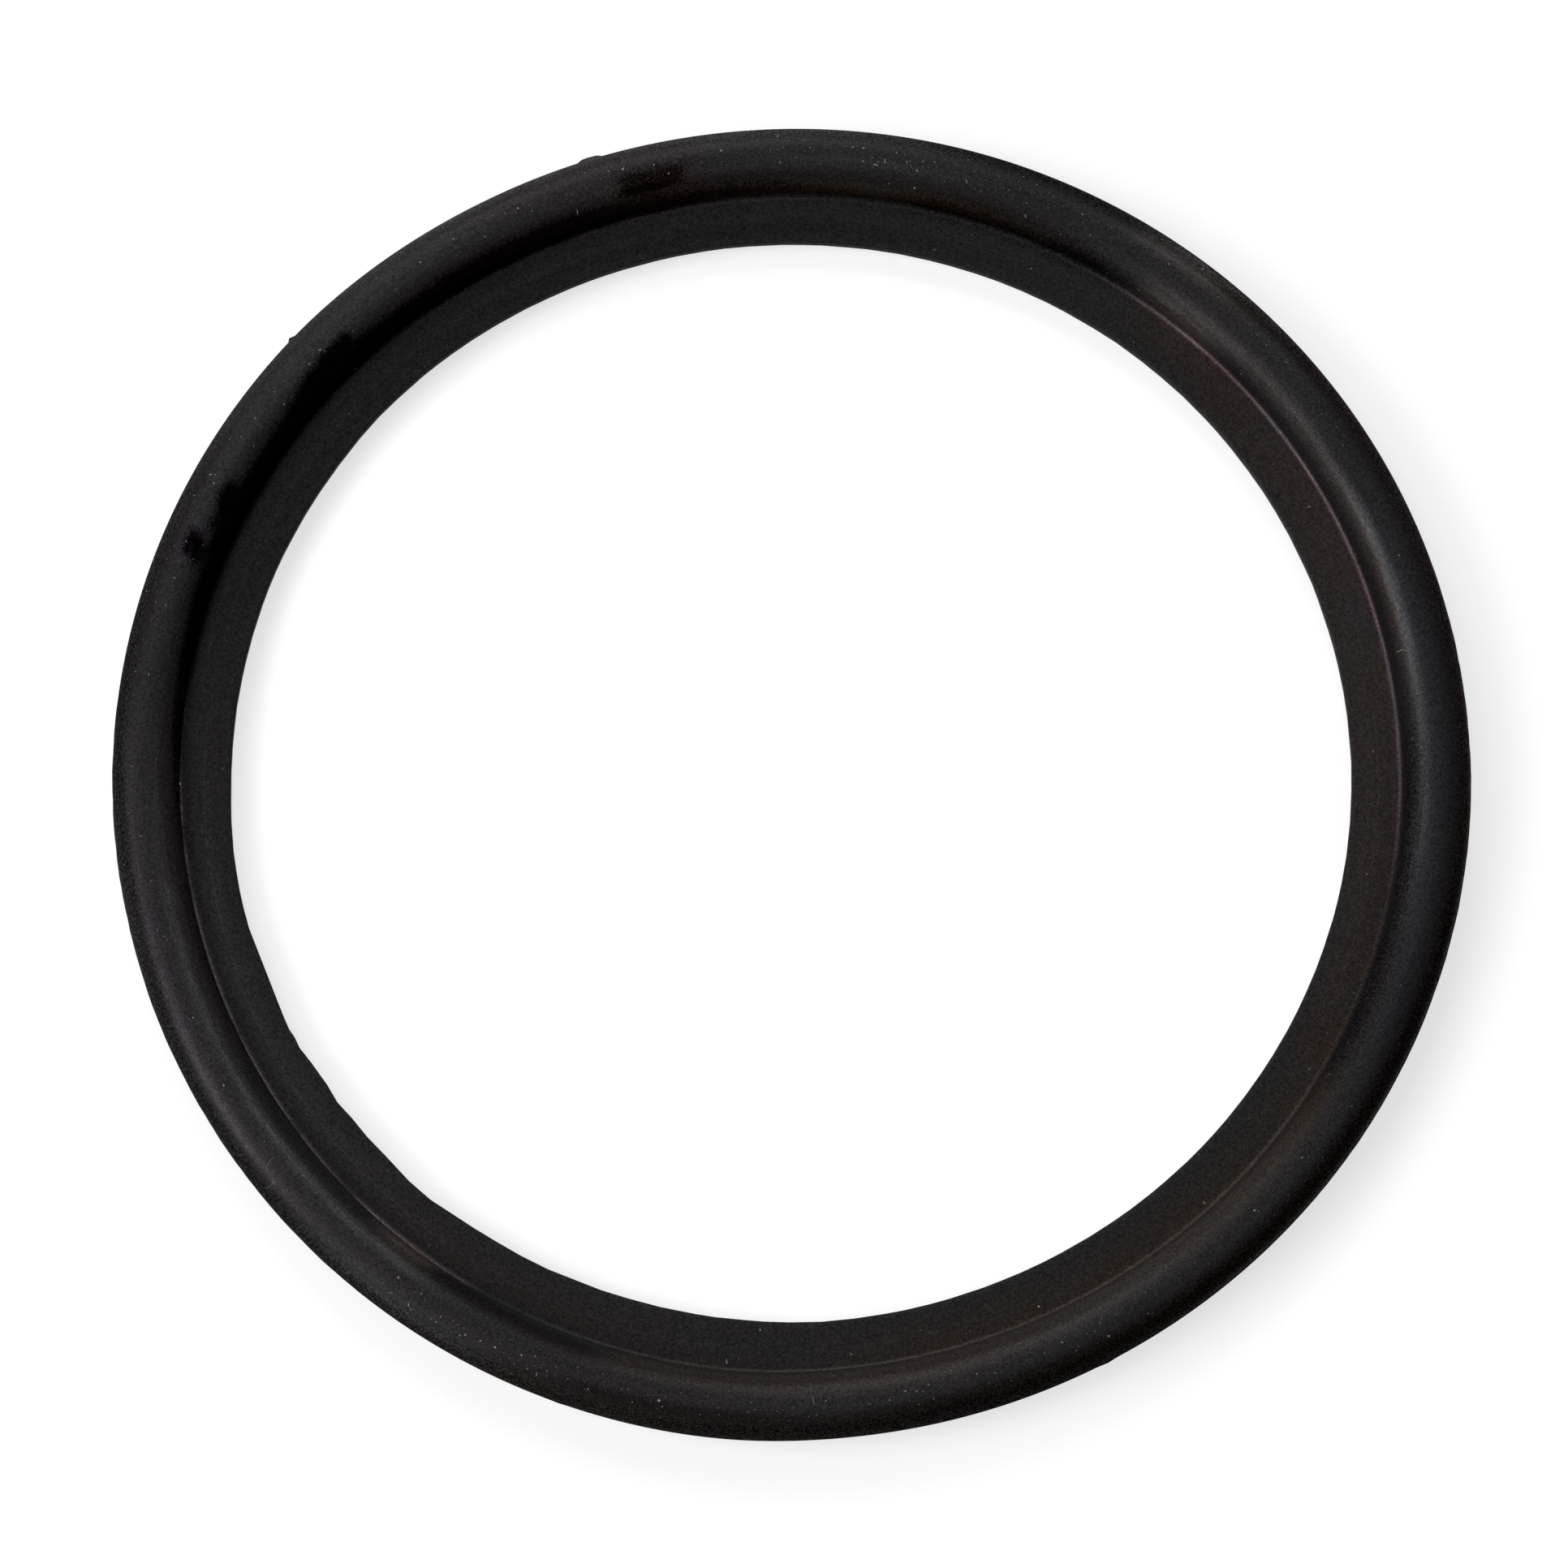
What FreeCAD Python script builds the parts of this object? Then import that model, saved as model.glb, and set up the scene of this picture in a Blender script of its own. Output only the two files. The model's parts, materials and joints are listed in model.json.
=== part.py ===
import FreeCAD, Part
import math
import os

# Oil cooler seal: one ring of black rubber, moulded in one piece.
# Seen in section it is a round bead on the outside with a thin flat flange on the inside.
# The flange lies low on the bead, flush with the bead's underside, so the ring has one flat
# face to sit on and one round crown that is squeezed when the cooler is bolted down.
# The frame: Z is the axis of the bore and points to the crown, and z = 0 is the flat underside.
# All sizes are in millimetres.

# The bore fits round the spigot of the cooler, and the flange reaches from it to the bead.
BORE_DIAMETER = 62.0
FLANGE_WIDTH = 2.8
FLANGE_THICKNESS = 1.35

# The round sealing bead, and the concave root between its inner flank and the flange.
BEAD_DIAMETER = 3.7
ROOT_RADIUS = 0.35

# The lead-in bevel under the inner lip, which helps the ring over the spigot.
BEVEL_WIDTH = 0.75
BEVEL_HEIGHT = 0.75

BORE_RADIUS = BORE_DIAMETER / 2
BEAD_RADIUS = BEAD_DIAMETER / 2
BEAD_INNER_RADIUS = BORE_RADIUS + FLANGE_WIDTH
BEAD_CENTRE_RADIUS = BEAD_INNER_RADIUS + BEAD_RADIUS
BEAD_CENTRE_HEIGHT = BEAD_RADIUS

SEAL_NODE = "seal_ring"
PARTS_FOLDER = "parts"


def section_point(radius, height):
    """A point of the section, which is drawn in the XZ plane."""
    return FreeCAD.Vector(radius, 0, height)


def point_on_circle(centre, radius, degrees):
    """The point of a circle at an angle that counts from outwards (0) towards up (90)."""
    turn = math.radians(degrees)
    return centre + section_point(radius * math.cos(turn), radius * math.sin(turn))


def arc(centre, radius, first_degrees, last_degrees):
    """An arc of a circle of the section, from one angle to the other."""
    middle_degrees = (first_degrees + last_degrees) / 2
    return Part.Arc(
        point_on_circle(centre, radius, first_degrees),
        point_on_circle(centre, radius, middle_degrees),
        point_on_circle(centre, radius, last_degrees),
    ).toShape()


def line(first, last):
    """A straight edge of the section."""
    return Part.LineSegment(first, last).toShape()


def root_circle_centre():
    """Centre of the circle that rounds the root: it rests on the flange and against the bead.

    Below the bead's widest point the inner flank drops straight, because a mould can't draw
    past an undercut, and the circle touches that straight wall. A thicker flange lifts the
    circle until it touches the bead's own round.
    """
    height = FLANGE_THICKNESS + ROOT_RADIUS
    rise_above_widest = max(0.0, height - BEAD_CENTRE_HEIGHT)
    reach = math.sqrt((BEAD_RADIUS + ROOT_RADIUS) ** 2 - rise_above_widest**2)
    return section_point(BEAD_CENTRE_RADIUS - reach, height)


def flank_degrees(bead_centre, root_centre):
    """The angle at which the bead's round ends, against the straight flank or the root."""
    lift = max(0.0, root_centre.z - bead_centre.z)
    reach = bead_centre.x - root_centre.x
    return 180 - math.degrees(math.atan2(lift, reach))


def bead_edges(bead_centre, root_centre):
    """The outer half of the bead, its crown's inner quarter and the straight flank under it."""
    end_degrees = flank_degrees(bead_centre, root_centre)
    edges = [
        arc(bead_centre, BEAD_RADIUS, -90, 90),
        arc(bead_centre, BEAD_RADIUS, 90, end_degrees),
    ]
    if root_centre.z < bead_centre.z:
        flank_top = point_on_circle(bead_centre, BEAD_RADIUS, end_degrees)
        flank_foot = point_on_circle(root_centre, ROOT_RADIUS, 0)
        edges.append(line(flank_top, flank_foot))
    return edges


def flange_edges(bead_centre, root_centre):
    """The root, the flat top, the wall of the bore, the bevel and the flat underside."""
    root_start_degrees = flank_degrees(bead_centre, root_centre) - 180
    root_foot = point_on_circle(root_centre, ROOT_RADIUS, -90)
    lip_top = section_point(BORE_RADIUS, FLANGE_THICKNESS)
    bevel_top = section_point(BORE_RADIUS, BEVEL_HEIGHT)
    bevel_foot = section_point(BORE_RADIUS + BEVEL_WIDTH, 0)
    bead_foot = section_point(bead_centre.x, 0)
    return [
        arc(root_centre, ROOT_RADIUS, root_start_degrees, -90),
        line(root_foot, lip_top),
        line(lip_top, bevel_top),
        line(bevel_top, bevel_foot),
        line(bevel_foot, bead_foot),
    ]


def seal_section():
    """The closed outline of the section as a flat face."""
    bead_centre = section_point(BEAD_CENTRE_RADIUS, BEAD_CENTRE_HEIGHT)
    root_centre = root_circle_centre()
    edges = bead_edges(bead_centre, root_centre) + flange_edges(bead_centre, root_centre)
    return Part.Face(Part.Wire(edges))


def seal_ring():
    """The whole seal: the section turned once round the axis of the bore."""
    return seal_section().revolve(FreeCAD.Vector(0, 0, 0), FreeCAD.Vector(0, 0, 1), 360)


def main():
    os.makedirs(PARTS_FOLDER, exist_ok=True)
    ring = seal_ring()
    ring.exportStep(os.path.join(PARTS_FOLDER, SEAL_NODE + ".step"))
    print("seal ring: valid", ring.isValid(), "type", ring.ShapeType)
    print("seal ring: outer diameter", BEAD_INNER_RADIUS * 2 + BEAD_DIAMETER * 2)
    print("seal ring: volume in cubic millimetres", round(ring.Volume, 2))


main()
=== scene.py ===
import json
import math
import bpy
import numpy as np
from mathutils import Matrix, Vector


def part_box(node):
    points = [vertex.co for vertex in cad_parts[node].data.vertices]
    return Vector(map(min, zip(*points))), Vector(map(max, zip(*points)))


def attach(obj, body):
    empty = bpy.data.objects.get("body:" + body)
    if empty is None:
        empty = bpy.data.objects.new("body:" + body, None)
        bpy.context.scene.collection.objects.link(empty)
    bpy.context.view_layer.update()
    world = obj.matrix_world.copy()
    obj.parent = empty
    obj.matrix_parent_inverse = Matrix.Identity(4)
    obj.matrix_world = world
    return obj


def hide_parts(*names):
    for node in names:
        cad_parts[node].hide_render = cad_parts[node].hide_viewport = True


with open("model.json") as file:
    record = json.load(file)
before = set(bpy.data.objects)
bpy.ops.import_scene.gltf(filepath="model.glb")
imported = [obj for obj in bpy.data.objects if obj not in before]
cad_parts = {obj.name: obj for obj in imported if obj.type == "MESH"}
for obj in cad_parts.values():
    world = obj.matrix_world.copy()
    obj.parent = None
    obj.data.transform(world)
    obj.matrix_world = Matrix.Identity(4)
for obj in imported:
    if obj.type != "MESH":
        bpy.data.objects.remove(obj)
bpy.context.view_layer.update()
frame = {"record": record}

# The seal
# One ring of black rubber, moulded in one piece: a round bead outside, a thin flat flange inside
# and a concave root between them. The mould's halves part at the bead's widest line and leave a
# thin thread of flash there, and the flange's edge was trimmed by hand round the bore.

millimetres_per_metre = 1000
millimetre = 1 / millimetres_per_metre
full_turn = 360
half_turn = 180
_, ring_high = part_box("seal_ring")
bore_mount = next(mount for mount in frame["record"]["mounts"] if mount["name"] == "bore")
bore_radius = bore_mount["dims"]["r_mm"] / millimetres_per_metre
outer_radius = ring_high.x
bead_radius = ring_high.z / 2
bead_centre_radius = outer_radius - bead_radius
flank_radius = bead_centre_radius - bead_radius
flange_thickness = 0.00135
root_radius = 0.00035
bevel_size = 0.00075
lip_rounding = 0.00006
flash_allowance = 0.00003
rows_round_the_ring = 1400


def arc_points(centre, radius, angles_in_degrees):
    """Points of a circle in the section: centre + radius * (cos, sin) of each angle."""
    angles = np.radians(angles_in_degrees)
    return np.array(centre) + radius * np.stack([np.cos(angles), np.sin(angles)], -1)


def straight_points(first, last, steps):
    """Evenly spaced points from first to last, both of them left out."""
    shares = np.linspace(0, 1, steps + 1)[1:-1, None]
    return np.array(first) + shares * (np.array(last) - np.array(first))


def seal_section():
    """The section as a closed loop of (radius, height) points, counter-clockwise.

    It runs outwards under the ring, round the bead and over its crown, down the inner flank,
    round the root, in along the flange's top, over the lip and down the bore to the bevel. The
    bead's outer half is a circle drawn in by the flash's height times the squared cosine of its
    angle.
    """
    bead_centre = np.array([bead_centre_radius, bead_radius])
    below_parting = [-75, -60, -47, -36, -27, -19, -12, -7, -4.5, -3]
    parting = [-2, -1.2, -0.6, 0, 0.6, 1.2, 2]
    above_parting = [3, 4.5, 7, 12, 19, 27, 34, 41, 48, 55, 62, 69, 76, 83, 90]
    flank_angles = np.linspace(97, 180, 13)
    root_angles = np.linspace(0, -90, 8)
    lip_angles = [90, 135, 180]
    steps_under_the_ring = 4
    steps_on_the_flange = 8
    outer_angles = np.array(below_parting + parting + above_parting)
    outer_half = arc_points(bead_centre, bead_radius, outer_angles) - bead_centre
    flash_draw = flash_allowance / bead_radius * np.cos(np.radians(outer_angles))[:, None] ** 2
    outer_half *= 1 - flash_draw
    root_centre = [flank_radius - root_radius, flange_thickness + root_radius]
    lip_centre = [bore_radius + lip_rounding, flange_thickness - lip_rounding]
    flange_start = [root_centre[0], flange_thickness]
    flange_end = [lip_centre[0], flange_thickness]
    bevel_foot = [bore_radius + bevel_size, 0]
    bead_foot = [bead_centre_radius, 0]
    return np.concatenate([
        [bevel_foot],
        straight_points(bevel_foot, bead_foot, steps_under_the_ring),
        [bead_foot],
        bead_centre + outer_half,
        arc_points(bead_centre, bead_radius, flank_angles),
        arc_points(root_centre, root_radius, root_angles),
        straight_points(flange_start, flange_end, steps_on_the_flange),
        arc_points(lip_centre, lip_rounding, lip_angles),
        [[bore_radius, flange_thickness / 2 + bevel_size / 2]],
        [[bore_radius, bevel_size]],
    ])


def soft_step(values, low, high):
    """0 below low, 1 above high and a smooth rise between."""
    share = np.clip((values - low) / (high - low), 0, 1)
    return share * share * (3 - 2 * share)


def degrees_away(places, centre):
    """How far each place lies from a centre round the ring, in degrees from -180 to 180."""
    return (places - centre + half_turn) % full_turn - half_turn


def shares_round_the_ring(busy_places, busy_spread, busy_gain):
    """Turns round the ring in radians, closer together near the busy places.

    The density is one plus a bell curve at each busy place, and the turns are where its running
    total reaches equal steps.
    """
    fine_steps = 36000
    fine = np.linspace(0, full_turn, fine_steps + 1)
    density = np.ones_like(fine)
    for place in busy_places:
        density += busy_gain * np.exp(-(degrees_away(fine, place) / busy_spread) ** 2)
    total = np.concatenate([[0], np.cumsum((density[1:] + density[:-1]) / 2)])
    steps = np.linspace(0, total[-1], rows_round_the_ring, endpoint=False)
    return np.radians(np.interp(steps, total, fine))


def smoothed_runs(corners, spread):
    """A line round the ring: straight runs between (place, value) corners, then a soft average.

    The places are in degrees, and the average weighs what lies round each place by a bell curve
    of the given spread.
    """
    places, values = zip(*corners)
    fine_step = 0.5
    fine = np.arange(0, full_turn, fine_step)
    runs = np.interp(fine, places, values, period=full_turn)
    weights = np.exp(-(degrees_away(fine, 0) / spread) ** 2)
    smooth = np.real(np.fft.ifft(np.fft.fft(runs) * np.fft.fft(weights / weights.sum())))
    return np.interp(np.degrees(turns), fine, smooth, period=full_turn)


def ripple(seed, lowest, highest):
    """A wavy line round the ring: whole waves with random phases, scaled to a spread of one."""
    draw = np.random.default_rng(seed)
    waves = np.arange(lowest, highest)
    phases = draw.uniform(0, 2 * math.pi, len(waves))
    line = np.cos(turns[:, None] * waves + phases).sum(axis=1)
    return line / math.sqrt(len(waves) / 2)


def bell(place, spread, power=2):
    """A soft bump round the ring at a place in degrees: exp of minus the distance to a power."""
    return np.exp(-np.abs(degrees_away(np.degrees(turns), place) / spread) ** power)


tag_places = [134.5, 103.8, 124, 57.6, 40.6, 246, 290, 206, 211, 227]
turns = shares_round_the_ring(tag_places, busy_spread=1.8, busy_gain=3.0)
section = seal_section()

# How far the real outline leaves a true circle, and where the lip was trimmed too near or too far:
# corners of a place round the ring in degrees and an offset outwards in millimetres.
swell_corners = [
    (0, -0.01), (20, 0), (45, -0.025), (70, -0.02), (95, -0.08), (115, -0.07), (133, 0.11),
    (150, 0.085), (165, 0.03), (172, 0), (190, -0.12), (210, -0.11), (230, -0.007),
    (250, 0.057), (262, 0.085), (270, -0.045), (285, -0.08), (300, -0.07), (330, -0.015),
    (350, 0.045),
]
outline_swell = smoothed_runs(swell_corners, spread=5.0)
lip_corners = [
    (0, -0.01), (12, -0.04), (18, -0.04), (33, -0.022), (45, -0.004), (60, 0.01), (72, -0.013),
    (87, -0.033), (102, -0.004), (112, 0.024), (120, 0.075), (129, 0.13), (136, 0.14),
    (139, 0.08), (144, 0.07), (153, 0.072), (160, 0.015), (168, 0.003), (171, -0.036),
    (179, -0.03), (182, 0.045), (189, 0.06), (196, 0.034), (204, 0.022), (207, -0.01),
    (209, -0.1), (212, -0.13), (217, -0.12), (222, -0.12), (225, 0), (228, -0.015),
    (231, -0.107), (235, -0.148), (240, -0.124), (247, -0.155), (257, -0.14), (264, -0.11),
    (269, -0.068), (276, -0.118), (288, -0.15), (300, -0.14), (315, -0.105), (330, -0.065),
    (345, -0.01),
]
lip_swell = smoothed_runs(lip_corners, spread=1.3)


def trimmed_edge(corner_places, corner_offsets):
    """The lip's radius offset in millimetres, cut in straight runs from corner to corner.

    Between corners of radius r1, r2 and turns a1, a2 a chord has the radius
    r1 r2 sin(a2 - a1) / (r1 sin(a - a1) + r2 sin(a2 - a)) at the turn a.
    """
    order = np.argsort(corner_places)
    places = np.radians(np.array(corner_places)[order])
    reach = bore_radius / millimetre + np.array(corner_offsets)[order]
    places = np.concatenate([places[-1:] - 2 * math.pi, places, places[:1] + 2 * math.pi])
    reach = np.concatenate([reach[-1:], reach, reach[:1]])
    nearest = np.searchsorted(places, turns, side="right") - 1
    first_turn, last_turn = places[nearest], places[nearest + 1]
    first_reach, last_reach = reach[nearest], reach[nearest + 1]
    chord = first_reach * last_reach * np.sin(last_turn - first_turn) / (
        first_reach * np.sin(turns - first_turn) + last_reach * np.sin(last_turn - turns))
    return chord - bore_radius / millimetre


# The trimmed edge itself: cuts of chance length in degrees, each corner a little off its line, and
# the slips of the knife that the photograph shows. The cuts are coarser at the front left.
trim_seed = 11
cuts_drawn = 170
shortest_cut = 1.8
longest_cut = 3.6
last_corner = 358
coarse_places = [185, 198, 240, 255]
coarse_shares = [0, 1, 1, 0]
dropped_share = 0.35
usual_jitter = 0.005
coarse_jitter = 0.008
slip_clearance = 1.5
slips = [
    (202.6, 0.0), (204.2, 0.05), (205.2, -0.01), (206.4, 0.04), (208.3, -0.09), (211.2, -0.15),
    (213.3, -0.04), (224.3, 0.0), (227.2, 0.02), (229.9, -0.09), (235, -0.15),
]
trim_draw = np.random.default_rng(trim_seed)
corner_places = np.cumsum(trim_draw.uniform(shortest_cut, longest_cut, cuts_drawn))
corner_places = corner_places[corner_places < last_corner]
coarse_cut = np.interp(corner_places, coarse_places, coarse_shares)
kept_corners = trim_draw.uniform(0, 1, len(corner_places)) > dropped_share * coarse_cut
corner_places = corner_places[kept_corners]
jitter_size = usual_jitter + coarse_jitter * coarse_cut[kept_corners]
jitter = trim_draw.normal(0, 1, len(corner_places)) * jitter_size
corner_offsets = np.interp(corner_places, np.degrees(turns), lip_swell) + jitter
slip_places, slip_offsets = zip(*slips)
clear = np.all([np.abs(corner_places - place) > slip_clearance for place in slip_places], axis=0)
lip_line = trimmed_edge(
    np.concatenate([corner_places[clear], slip_places]),
    np.concatenate([corner_offsets[clear], slip_offsets]))

# The thread of flash on the parting line, in millimetres, thin at the back left and at the front
# and frayed in two places, with the tags that were left on it: each has its place in degrees, its
# height in millimetres, its reach in degrees and a power that says how square its ends are.
usual_flash = 0.024
slow_waves = 0.006 * ripple(seed=3, lowest=20, highest=90)
quick_waves = 0.004 * ripple(seed=4, lowest=90, highest=260)
back_left_thinning = 0.6 * bell(135, spread=32, power=4)
back_left_fray = 0.030 * ripple(seed=6, lowest=200, highest=330) * bell(124, spread=6, power=4)
front_fray = 0.012 * ripple(seed=7, lowest=120, highest=200) * bell(289, spread=6, power=4)
front_thinning = 0.7 * bell(275, spread=62, power=4)
tags = [
    (134.5, 0.17, 0.3, 1.6), (134.15, 0.07, 0.45, 2), (103.9, 0.25, 1.15, 4),
    (106.2, 0.05, 0.7, 2), (57.6, 0.05, 0.5, 1.4), (40.6, 0.045, 0.4, 1.4),
    (246.9, 0.03, 0.7, 2), (286.2, -0.03, 0.8, 2), (290.0, -0.03, 0.8, 2),
    (293.6, 0.07, 0.7, 1.5), (126.5, 0.07, 0.5, 2), (122.7, -0.06, 0.7, 2),
]
flash_line = usual_flash + slow_waves + quick_waves
flash_line *= 1 - back_left_thinning
flash_line += back_left_fray + front_fray
flash_line *= 1 - front_thinning
for place, height, spread, power in tags:
    flash_line += height * bell(place, spread, power)

flash_half_angle = 1.5
above_centre = section[:, 1] - bead_radius
out_of_centre = section[:, 0] - bead_centre_radius
flash_angle = np.degrees(np.arctan2(above_centre, out_of_centre))
flash_share = np.exp(-np.abs(flash_angle / flash_half_angle) ** 2)
outward_share = soft_step(section[:, 0], bore_radius, flank_radius)
radii = section[:, 0] + millimetre * (
    outline_swell[:, None] * outward_share
    + lip_line[:, None] * (1 - outward_share)
    + np.maximum(flash_line, 0)[:, None] * flash_share)
heights = np.tile(section[:, 1], (rows_round_the_ring, 1))


def ring_mesh(name):
    """A closed skin round Z: the point at turn a of row i is (r cos a, r sin a, h)."""
    around, along = radii.shape
    places = np.stack([
        radii * np.cos(turns)[:, None],
        radii * np.sin(turns)[:, None],
        heights,
    ], -1).reshape(-1, 3)
    row = np.arange(around)[:, None]
    column = np.arange(along)[None, :]
    next_row = (row + 1) % around
    next_column = (column + 1) % along
    corners = np.stack([
        row * along + column,
        next_row * along + column,
        next_row * along + next_column,
        row * along + next_column,
    ], -1).reshape(-1, 4)
    mesh = bpy.data.meshes.new(name)
    mesh.from_pydata(places, [], corners)
    mesh.update()
    mesh.shade_smooth()
    return mesh


seal_mesh = ring_mesh("moulded_ring")
seal = bpy.data.objects.new("moulded_ring", seal_mesh)
bpy.context.scene.collection.objects.link(seal)

# The skin unrolled into a strip: along it the way round the ring, across it the way along the
# section in metres, from the crown of the bead inwards (negative) and outwards (positive).
section_steps = np.linalg.norm(np.roll(section, -1, axis=0) - section, axis=1)
walked = np.concatenate([[0], np.cumsum(section_steps)])
crown_column = int(np.argmax(section[:, 1]))
across = walked[crown_column] - walked[:-1]
across_edges = walked[crown_column] - walked
along_edges = np.append(turns, 2 * math.pi) * bead_centre_radius


def lay_strip(mesh):
    """One UV corner for each corner of each face: the strip's place of that row and column."""
    row, column = np.meshgrid(np.arange(len(turns)), np.arange(len(section)), indexing="ij")
    corner_rows = np.stack([row, row + 1, row + 1, row], -1).reshape(-1)
    corner_columns = np.stack([column, column, column + 1, column + 1], -1).reshape(-1)
    strip = np.stack([along_edges[corner_rows], across_edges[corner_columns]], -1)
    layer = mesh.uv_layers.new(name="strip")
    layer.data.foreach_set("uv", strip.astype(np.float32).ravel())


lay_strip(seal_mesh)

# What lies on the skin, as values from 0 to 1 at each point of the strip: a sheen with painted
# highlights, painted shade with dark blots, a film with painted tints and highlights, and where
# dust has settled. A row of a table gives a stretch's place, half length and fade in degrees round
# the ring, its depth and spread in millimetres across the strip, and last its strength.

across_mm = across / millimetre


def stretch(place, half_length, fade, depth, spread, power=2, wander=0.0):
    """A stretch of the strip: 1 along its length with soft ends, times a bell across it.

    Wander shifts it across by a line of its own.
    """
    away = np.abs(degrees_away(np.degrees(turns), place))
    along = 1 - soft_step(away, half_length - fade, half_length + fade)
    from_line = np.abs((across_mm[None, :] - depth + wander) / spread)
    return along[:, None] * np.exp(-from_line ** power)


def gather(stretches, power=2, wander=0.0):
    """The sum of the listed stretches, each with its strength as the last number."""
    total = np.zeros((rows_round_the_ring, len(section)))
    for *where, strength in stretches:
        total += strength * stretch(*where, power, wander)
    return total


# The coat's sheen: an even satin coat, plus painted highlights on the crown and along the ring,
# and painted shade where the coat is taken down.
usual_sheen = 0.23
crown_depth = -0.12
crown_spread = 0.32
crown_highlight_gain = 0.13
crown_painted_highlight = crown_highlight_gain * np.exp(-((across_mm - crown_depth) / crown_spread) ** 2)
painted_highlight_stretches = [
    (4, 22, 9, -1.24, 0.66, 0.36),
    (10, 13, 6, -1.15, 0.24, 0.18),
    (0, 12, 5, -0.74, 0.25, 0.20),
    (41, 13, 12.6, -1.54, 0.37, 0.40),
    (46, 4, 2.6, -2.45, 0.81, 1.10),
    (45, 6, 4, 1.45, 0.30, 0.30),
    (82, 12, 8, 1.10, 0.35, 0.12),
    (49, 4, 3.1, 0.85, 0.59, 0.80),
    (45, 12, 6, 0.35, 0.51, 0.21),
    (209, 22, 13, -0.68, 0.42, 0.48),
    (187, 17, 11, -1.01, 0.43, 0.58),
    (209, 9, 7, 1.05, 0.26, 0.20),
    (231, 8, 8, 1.60, 0.46, 0.56),
    (229.0, 3.0, 2.0, -2.00, 1.02, 0.56),
    (265, 50, 18, -2.24, 0.33, 0.28),
    (307, 14, 6, -1.30, 0.35, 0.14),
    (282, 18, 10.8, -0.20, 0.53, 0.19),
    (317, 11, 7, 0.41, 0.26, 0.34),
    (131, 21, 18, -0.32, 0.41, 0.27),
    (80, 8, 7, -0.42, 0.22, 0.28),
    (16, 25, 8, -3.43, 0.15, 0.38),
    (206, 27, 9, -3.26, 0.13, 0.72),
    (229, 6, 4, -3.28, 0.15, 0.20),
    (47, 6, 3, -3.36, 0.18, 0.20),
    (120, 50, 15, 2.85, 0.25, 0.40),
    (282, 42, 4.2, -3.30, 0.20, 0.20),
    (51, 44, 27, -3.87, 0.41, 0.28),
    (201, 24, 18, -4.45, 0.68, 0.32),
    (221, 12, 5.0, -0.40, 0.45, 0.14),
    (211, 3.5, 2.5, -0.58, 0.22, 0.18),
    (103, 31, 16.2, 1.25, 0.55, 0.20),
    (357, 24, 21.4, -5.05, 0.99, 0.15),
    (150, 25, 10, -3.75, 0.3, 0.22),
    (161, 5, 4, -0.85, 0.42, 0.10),
    (14, 3, 2.5, -0.62, 0.16, 0.10),
    (210, 4, 3, -0.78, 0.20, 0.12),
    (210, 4, 3, 1.00, 0.20, 0.08),
    (300, 10, 6, -2.00, 0.22, 0.12),
    (144, 4, 3, -0.70, 0.40, 0.06),
]
painted_sheen_shade_stretches = [
    (116, 58, 36, -5.34, 0.75, -0.20),
    (60, 14, 9, -1.75, 1.01, -0.13),
    (240, 9, 2.4, -1.35, 0.79, -0.23),
    (158, 12, 7.2, 0.88, 0.36, -0.15),
    (36, 38, 28.5, 0.05, 1.01, -0.09),
    (351, 29, 11.1, -2.05, 1.02, -0.26),
    (256, 10, 6, 0.90, 0.36, -0.26),
    (284, 12, 6, 0.98, 0.32, -0.22),
    (330, 10, 8, -0.50, 0.70, -0.08),
    (197, 41, 5.6, -1.67, 0.41, -0.16),
    (359, 6, 4, -1.35, 0.55, -0.17),
    (71, 13, 6, -3.45, 0.20, -0.10),
    (25, 3.5, 2.5, -0.82, 0.45, -0.15),
    (20, 4, 3, -0.42, 0.18, -0.12),
    (300, 10, 6, -2.60, 0.25, -0.07),
]
sheen_and_painted_highlights = usual_sheen + crown_painted_highlight[None, :] + gather(painted_highlight_stretches) + gather(painted_sheen_shade_stretches)
sheen_and_painted_highlights = np.clip(sheen_and_painted_highlights, 0, 1)

# Painted shade in the recess: its upper edge across the inner flank, in degrees from the crown,
# and how black it is, both by the place round the ring, with dark blots that reach up from it.
recess_corners = [
    (84, -78), (90, -62), (95, -58), (98, -51), (102, -49), (105, -46), (112, -43), (122, -43),
    (128, -41), (131, -36), (139, -32), (142, -37), (148, -37), (154, -34), (160, -41),
    (165, -45), (170, -50), (175, -56), (182, -62), (190, -68), (200, -78),
]
black_corners = [
    (80, 0), (90, 0.38), (97, 0.78), (107, 0.93), (118, 0.96), (128, 0.98), (165, 0.98),
    (174, 0.83), (182, 0.42), (192, 0),
]
recess_fade = (-0.26, 0.30)
root_fade = (-0.15, 0.16)
blackest = 0.98
recess_tilt = smoothed_runs(recess_corners, spread=0.8)
recess_wander = 0.03 * ripple(seed=8, lowest=20, highest=70)
recess_top = np.radians(recess_tilt) * bead_radius / millimetre + recess_wander
recess_black = np.interp(np.degrees(turns), *zip(*black_corners), left=0, right=0)
usual_root = -3.30
deeper_root = 0.12 * bell(106, spread=15, power=4)
shallower_root = 0.08 * bell(167, spread=14, power=5)
root_wander = 0.03 * ripple(seed=9, lowest=20, highest=80)
root_depth = usual_root - deeper_root + shallower_root + root_wander
recess_shade_and_blots = soft_step(recess_top[:, None] - across_mm, *recess_fade)
recess_shade_and_blots *= soft_step(across_mm - root_depth[:, None], *root_fade) * recess_black[:, None]
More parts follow.
